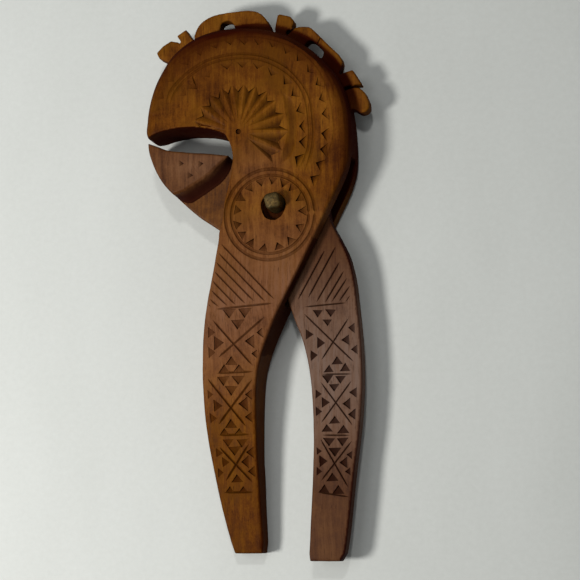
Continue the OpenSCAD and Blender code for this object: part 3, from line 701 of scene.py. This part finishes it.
# Old stain, hand wear, painted shade and a painted sheen: how dark or pale each point of the wood is,
# from its place in mm
HEAD_CENTRE = (-12.5, 31)
HEAD_R = 47
HANDLES_BELOW = -15       # the handles' side walls start here


def ramp(value, low, high):
    return max(0.0, min(1.0, (value - low) / (high - low)))


def fork_stain_and_shade(p, normal):
    """Dark round the rim of the head and towards its top, from patina and painted shade; painted
    shade on its walls, towards the handle's end and along its right arris; and a painted shadow
    under the mouth's roof, in the mortise and in the worn hollow round the pin."""
    wall = 1 - abs(normal.z)
    from_centre = math.hypot(p.x - HEAD_CENTRE[0], p.y - HEAD_CENTRE[1])
    # the rim, darker at the right and top: patina and painted shade
    rim = ramp(from_centre, 36, 44) * (1 - ramp(from_centre, HEAD_R, 48.5)) * ramp(p.y, -5, 25)
    rim *= 0.4 + 0.6 * ramp(p.x + p.y * 0.5, -15, 25)
    # painted shade on the walls and towards the handle's lower end
    shade = 0.78 * rim + 0.5 * wall + 0.3 * ramp(-p.y, 82, 112)
    on_head = from_centre < HEAD_R + 0.5
    # painted shade along the right arris, and painted shadow in the mortise, under the mouth's roof
    # and in the pin's hollow
    shaded_right_arris = p.y < HANDLES_BELOW and 0.3 < normal.x < 0.95
    in_mortise = 6.5 < p.z < 15.5 and abs(normal.z) > 0.6 and p.y < 27 and from_centre < 60
    over_mouth = normal.y < -0.5 and 24 < p.y < 35 and p.x < -17
    in_hollow = math.hypot(p.x, p.y) < 7 and p.z < 21.6
    if on_head:
        shade += 0.38 * ramp(p.y, 40, 64)
    if shaded_right_arris:
        shade += 0.35
    if in_mortise or over_mouth:
        shade = 1.0
    if in_hollow:
        shade = 0.6
    return shade


def fork_sheen_and_wear(p, normal):
    """Paler where the hand goes and where a painted sheen lies: the pivot and the upper handle,
    and the cheek beside the mouth.
    """
    handle = 1 - abs(p.y + 42) / 46
    cheek = 1 - math.hypot((p.x + 8) / 18, (p.y - 14) / 16)
    return 0.9 * max(0.0, handle) + 0.4 * max(0.0, cheek)


face.paint("stain_and_shade", fork_stain_and_shade)
face.paint("sheen_and_wear", fork_sheen_and_wear)


# ---------------------------------------------------------------------------------------------
# The board lever: one flat board of a darker brown wood, which a painted sheen makes greyer on
# # the handle, from the lower jaw through the mortise to the right handle, which carries the same
# # strokes and panels as the left one.
# ---------------------------------------------------------------------------------------------
board_wood = wood("board_wood", dark=(0.048, 0.013, 0.0015), middle=(0.110, 0.036, 0.004),
                  light=(0.178, 0.067, 0.011), sheen_and_wear=(0.162, 0.098, 0.070), shine=0.10,
                  cut_full=0.4)
board_face = Cuts("board_lever")
BOARD_STROKES = [((19.3, -19.7), (8.3, -39.4)), ((23.9, -18.4), (12.6, -38.7)),
                 ((25.6, -24.5), (16.0, -40.7)), ((27.3, -28.4), (19.6, -41.0)),
                 ((28.6, -31.4), (22.4, -40.7)), ((29.8, -34.6), (25.4, -40.7)),
                 ((29.8, -38.6), (28.1, -41.0))]
BOARD_BARS = [((11.1, -42.6), (28.3, -41.4)), ((18.1, -70.4), (30.5, -70.5)),
              ((18.4, -95.1), (29.6, -95.3)), ((16.3, -118.0), (29.2, -120.0))]
BOARD_CROSSES = [((10.9, -45.6), (31.2, -65.5)), ((29.2, -47.8), (18.1, -64.4)),
                 ((17.7, -73.7), (30.6, -91.1)), ((30.2, -73.5), (17.9, -90.0)),
                 ((17.6, -96.8), (28.8, -116.1)), ((30.3, -97.7), (17.8, -113.4))]
BOARD_CHIPS = [
    (16.5, -47.0, DOWN, 0.75, 0.75), (21.7, -46.8, DOWN, 0.75, 0.75),
    (20.4, -50.8, DOWN, 0.75, 0.8),
    (24.4, -63.4, UP, 0.8, 0.8), (21.0, -66.8, UP, 0.75, 0.8), (27.6, -66.2, UP, 0.8, 0.8),
    (14.4, -53.9, RIGHT, 0.75, 0.6), (19.3, -57.6, RIGHT, 0.85, 0.8),
    (16.4, -62.6, RIGHT, 0.75, 0.7),
    (29.2, -51.8, LEFT, 0.7, 0.6), (26.4, -56.6, LEFT, 0.8, 0.8), (30.2, -60.6, LEFT, 0.7, 0.6),
    (20.4, -74.0, DOWN, 0.85, 0.8), (25.8, -74.2, DOWN, 0.8, 0.8), (23.2, -77.6, DOWN, 0.8, 0.8),
    (23.2, -87.4, UP, 0.8, 0.8), (20.2, -90.8, UP, 0.8, 0.8), (26.8, -91.2, UP, 0.85, 0.8),
    (18.0, -78.4, RIGHT, 0.75, 0.7), (21.2, -81.8, RIGHT, 0.8, 0.8),
    (18.2, -85.4, RIGHT, 0.75, 0.7),
    (29.6, -78.0, LEFT, 0.75, 0.7), (26.8, -82.6, LEFT, 0.8, 0.9), (29.0, -86.8, LEFT, 0.75, 0.9),
    (21.0, -99.6, DOWN, 0.85, 0.8), (26.6, -99.6, DOWN, 0.85, 0.8),
    (23.4, -103.8, DOWN, 0.9, 0.85),
    (22.4, -110.4, UP, 0.85, 0.8), (18.9, -115.2, UP, 0.8, 0.8), (24.6, -115.4, UP, 0.85, 0.8),
    (17.8, -101.4, RIGHT, 0.7, 0.5), (20.2, -105.6, RIGHT, 0.85, 0.8),
    (18.0, -109.6, RIGHT, 0.7, 0.6),
    (28.2, -103.2, LEFT, 0.75, 0.7), (25.4, -106.4, LEFT, 0.8, 0.8),
    (27.6, -109.8, LEFT, 0.75, 0.7),
]
panel_lines(board_face, BOARD_STROKES, BOARD_BARS, BOARD_CROSSES, (0.7, 0.55), (0.75, 0.55),
            (0.7, 0.55))
panel_chips(board_face, BOARD_CHIPS, grow=1.15)
board = board_face.worn_copy("carved_board_lever", MESH_CELL)
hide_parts("board_lever")
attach(board, "jaw_lever")
board_face.make(board_wood)


def board_painted_shade(p, normal):
    """Painted shade on the walls, at the handle's end and along its right arris, and a painted
    shadow of the fork lever near the mortise.
    """
    shade = 0.45 * (1 - abs(normal.z)) + 0.55 * ramp(p.y, -45, -12) * ramp(p.x, -8, 8)
    if p.y < HANDLES_BELOW and 0.25 < normal.x < 0.95:
        shade += 0.5
    return shade + 0.35 * ramp(-p.y, 88, 114)


def board_sheen_and_wear(p, normal):
    """A painted sheen with hand wear over the handle, strongest in its middle."""
    return (0.25 + 0.9 * max(0.0, 1 - abs(p.y + 68) / 50)) * ramp(p.x, 0, 8)


board_face.paint("stain_and_shade", board_painted_shade)
board_face.paint("sheen_and_wear", board_sheen_and_wear)


# ---------------------------------------------------------------------------------------------
# Two jaw pads of a redder wood, glued on the board's jaw to make it as thick as the head. Each
# has a coved shoulder towards the mortise. The front one has three small chips and scratches.
# ---------------------------------------------------------------------------------------------
pad_wood = wood("pad_wood", dark=(0.046, 0.012, 0.0015), middle=(0.102, 0.033, 0.006),
                light=(0.170, 0.067, 0.018), sheen_and_wear=(0.170, 0.080, 0.040), shine=0.10,
                grain_turn=math.radians(-35))
PAD_CELL = 0.3 * MM
PAD_CHIPS = [(-38.6, 18.2), (-30.2, 17.6), (-34.8, 12.9)]
SCRATCHES = [[(-36.2, 20.6), (-34.6, 16.4), (-31.8, 12.8)],
             [(-35.0, 20.8), (-33.6, 17.0), (-31.0, 13.8)],
             [(-33.6, 20.6), (-32.4, 17.6), (-30.2, 15.0)]]


def pad_dark_shoulder_and_wall_shade(p, normal):
    """The coved shoulder is darker, its face isn't; its walls get painted shade."""
    return 0.9 * ramp(-abs(p.z - 11), -10.2, -7.5) + 0.25 * (1 - abs(normal.z))


# painted sheen and wear: paler in the middle of the pad's face
def pad_sheen_and_wear(p, normal):
    return 0.6 - math.hypot((p.x + 33) / 22, (p.y - 17) / 12) * 0.5


front = Cuts("front_jaw_pad")
for place in PAD_CHIPS:
    apex = Vector(place)
    front.chip(4, wobble(apex), wobble(apex + Vector((-2.6, 1.6))),
               wobble(apex + Vector((-2.5, -1.7))), depth=0.85)
for k, line in enumerate(SCRATCHES):
    front.groove(k % 2, line, width=0.35, depth=0.08, run_out=3, curved=True)
for cuts, name in ((front, "jaw_pad_front"), (Cuts("back_jaw_pad"), "jaw_pad_back")):
    pad = cuts.worn_copy(name, PAD_CELL)
    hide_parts(cuts.node)
    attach(pad, "jaw_lever")
    cuts.make(pad_wood)
    cuts.paint("stain_and_shade", pad_dark_shoulder_and_wall_shade)
    cuts.paint("sheen_and_wear", pad_sheen_and_wear)


# ---------------------------------------------------------------------------------------------
# The pivot pin: a cut length of brass rod, driven through both cheeks, its front end hammered
# over into a low faceted dome and dulled to a greenish brown.
# ---------------------------------------------------------------------------------------------
n = Nodes("brass")
place = n.add("ShaderNodeTexCoord").outputs["Object"]
spots = n.noise(place, 900.0, 5.0, 0.7)
broad = n.noise(place, 240.0, 3.0, 0.6)
bright = n.mix(n.between(spots, 0.35, 0.62), (0.045, 0.025, 0.005, 1), (0.130, 0.078, 0.018, 1))
colour = n.mix(n.between(broad, 0.42, 0.62), bright, (0.050, 0.034, 0.009, 1))
n.put(colour, n.shader.inputs["Base Color"])
n.put(n.spread(spots, 0.7, 0.48), n.shader.inputs["Roughness"])
n.shader.inputs["Metallic"].default_value = 0.7
bump = n.add("ShaderNodeBump", {"Height": spots, "Distance": 0.15 * MM, "Strength": 0.5})
n.put(bump.outputs[0], n.shader.inputs["Normal"])

PIN_R = 3.85 * MM
PIN_TOP = 28 * MM
PIN_SIDES = 40
HAMMERED = 24 * MM        # the blows reach down to here
# The rod's outline, [radius, height], with a small chamfer at its back end
PIN_OUTLINE = [(0.0, 0.0), (2.0, 0.0), (3.6, 0.0), (3.85, 0.3), (3.85, 6), (3.85, 12), (3.85, 18),
               (3.85, 22), (3.85, 24), (3.85, 25.6), (3.84, 26.3), (3.76, 26.9), (3.5, 27.35),
               (3.1, 27.65), (2.5, 27.85), (1.8, 27.95), (1.0, 28.0), (0.0, 28.0)]
b = bmesh.new()
rings = []
for r, z in PIN_OUTLINE:
    if r == 0:
        rings.append([b.verts.new((0, 0, z * MM))])
    else:
        rings.append([b.verts.new((r * MM * math.cos(2 * math.pi * k / PIN_SIDES),
                                   r * MM * math.sin(2 * math.pi * k / PIN_SIDES), z * MM))
                      for k in range(PIN_SIDES)])
for low, high in zip(rings, rings[1:]):
    for k in range(PIN_SIDES):
        after = (k + 1) % PIN_SIDES
        if len(low) == 1:
            b.faces.new((low[0], high[after], high[k]))
        elif len(high) == 1:
            b.faces.new((low[k], low[after], high[0]))
        else:
            b.faces.new((low[k], low[after], high[after], high[k]))

# Four blows from the sides have squared the end, and four from above have tilted its top:
# [direction, tilt, how far under the top at the rim]
SQUARED = 0.87
SQUARED_TURN = math.radians(12)
SQUARED_MORE = 0.02
TOP_BLOWS = [(200, 14, 0.9), (110, 11, 0.5), (20, 16, 0.7), (290, 24, 1.1)]
DENTS = 0.12 * MM
hammered = [v for v in b.verts if v.co.z > HAMMERED]
for v in hammered:
    around = math.atan2(v.co.y, v.co.x) - SQUARED_TURN
    squared = max(abs(math.cos(around)), abs(math.sin(around)))
    narrow = min(1.0, SQUARED / squared) - SQUARED_MORE
    v.co.x *= narrow
    v.co.y *= narrow
for turned, tilt, drop in TOP_BLOWS:
    blow_x, blow_y = polar((0, 0), 1, turned)
    slope = math.tan(math.radians(tilt))
    for v in hammered:
        if v.co.z > HAMMERED:
            along = v.co.x * blow_x + v.co.y * blow_y
            v.co.z = min(v.co.z, PIN_TOP - drop * MM - (along - PIN_R) * slope)
for v in hammered:
    if v.co.z > HAMMERED:
        v.co.x += noise.noise(v.co * 500) * DENTS
        v.co.y += noise.noise(v.co * 500 + Vector((9, 0, 0))) * DENTS
bmesh.ops.recalc_face_normals(b, faces=b.faces)
pin_mesh = bpy.data.meshes.new("hammered_pin")
b.to_mesh(pin_mesh)
b.free()
pin = bpy.data.objects.new("hammered_pin", pin_mesh)
scene.collection.objects.link(pin)
pin_mesh.materials.append(n.material)
for p in pin_mesh.polygons:
    p.use_smooth = True
for e in pin_mesh.edges:
    heights = [pin_mesh.vertices[i].co.z for i in e.vertices]
    if max(heights) < 0.5 * MM and min(heights) < 0.1 * MM:
        e.use_edge_sharp = True
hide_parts("pivot_pin")
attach(pin, "fork")


# ---------------------------------------------------------------------------------------------
# The table: a pale painted top with faint specks and smears, and painted light that makes it a little
# paler at the left.
# It lies a hair under the object, so that their faces don't share a plane.
# ---------------------------------------------------------------------------------------------
t = Nodes("table_top")
place = t.add("ShaderNodeTexCoord").outputs["Object"]
speck = t.noise(place, 420.0, 4.0, 0.7)
smear = t.noise(place, 14.0, 3.0, 0.6, (1, 0.4, 1))
tone = t.maths("ADD", t.spread(speck, -0.012, 0.012), t.spread(smear, -0.015, 0.015))
across = t.add("ShaderNodeSeparateXYZ", {"Vector": place}).outputs["X"]
# painted light: the table is a little paler towards the left, the window's side
tone = t.maths("SUBTRACT", tone, t.between(across, -0.12, 0.12, -0.03, 0.03))
table_colour = t.mix(t.between(tone, -0.06, 0.06), (0.53, 0.545, 0.515, 1), (0.70, 0.72, 0.69, 1))
t.put(table_colour, t.shader.inputs["Base Color"])
t.shader.inputs["Roughness"].default_value = 0.55
t.shader.inputs["Specular IOR Level"].default_value = 0.25
bump = t.add("ShaderNodeBump", {"Height": speck, "Distance": 0.15 * MM, "Strength": 0.25})
t.put(bump.outputs[0], t.shader.inputs["Normal"])
TABLE_HALF = 1.6
TABLE_GAP = 0.05 * MM
table_mesh = bpy.data.meshes.new("table")
table_mesh.from_pydata([(-TABLE_HALF, -TABLE_HALF, 0), (TABLE_HALF, -TABLE_HALF, 0),
                        (TABLE_HALF, TABLE_HALF, 0), (-TABLE_HALF, TABLE_HALF, 0)],
                       [], [(0, 1, 2, 3)])
table_mesh.materials.append(t.material)
table = bpy.data.objects.new("table", table_mesh)
table.location.z = -TABLE_GAP
scene.collection.objects.link(table)


# ---------------------------------------------------------------------------------------------
# The light and the camera: a window at the left, a lamp high behind the crest and a pale
# ceiling. The camera looks down on the table, tilted a little, as in the photograph.
# ---------------------------------------------------------------------------------------------
def lamp(name, size, power, where, colour=(1, 1, 1), aim=(-0.01, -0.03, 0.01)):
    data = bpy.data.lights.new(name, "AREA")
    data.shape = "DISK"
    data.size = size
    data.energy = power
    data.color = colour
    light = bpy.data.objects.new(name, data)
    light.location = where
    light.rotation_euler = (Vector(aim) - Vector(where)).to_track_quat("-Z", "Y").to_euler()
    scene.collection.objects.link(light)


lamp("window", 0.15, 3.8, (-0.370, -0.215, 0.610), (1.0, 0.985, 0.96))
lamp("lamp_behind_crest", 0.12, 2.6, (0.17, 0.47, 1.21))
lamp("ceiling", 0.5, 1.8, (-0.33, 0.10, 1.41))
world = bpy.data.worlds.new("room")
world.use_nodes = True
background = world.node_tree.nodes["Background"]
background.inputs["Color"].default_value = (0.93, 0.97, 1.0, 1)
background.inputs["Strength"].default_value = 0.155
scene.world = world

camera_data = bpy.data.cameras.new("camera")
camera_data.sensor_width = 36
camera_data.lens = 111.72
camera_data.clip_start = 0.05
camera_data.clip_end = 10
camera = bpy.data.objects.new("camera", camera_data)
EYE = Vector((0.165867, -0.137100, 0.728870))
RIGHT_OF_VIEW = Vector((0.97548171, 0, -0.22008051))
UP_OF_VIEW = Vector((0.03027612, 0.99049227, 0.13419543))
BACK_OF_VIEW = Vector((0.21798804, -0.13756837, 0.9662071))
view_axes = Matrix((RIGHT_OF_VIEW, UP_OF_VIEW, BACK_OF_VIEW)).transposed()
camera.matrix_world = Matrix.Translation(EYE) @ view_axes.to_4x4()
scene.collection.objects.link(camera)
scene.camera = camera
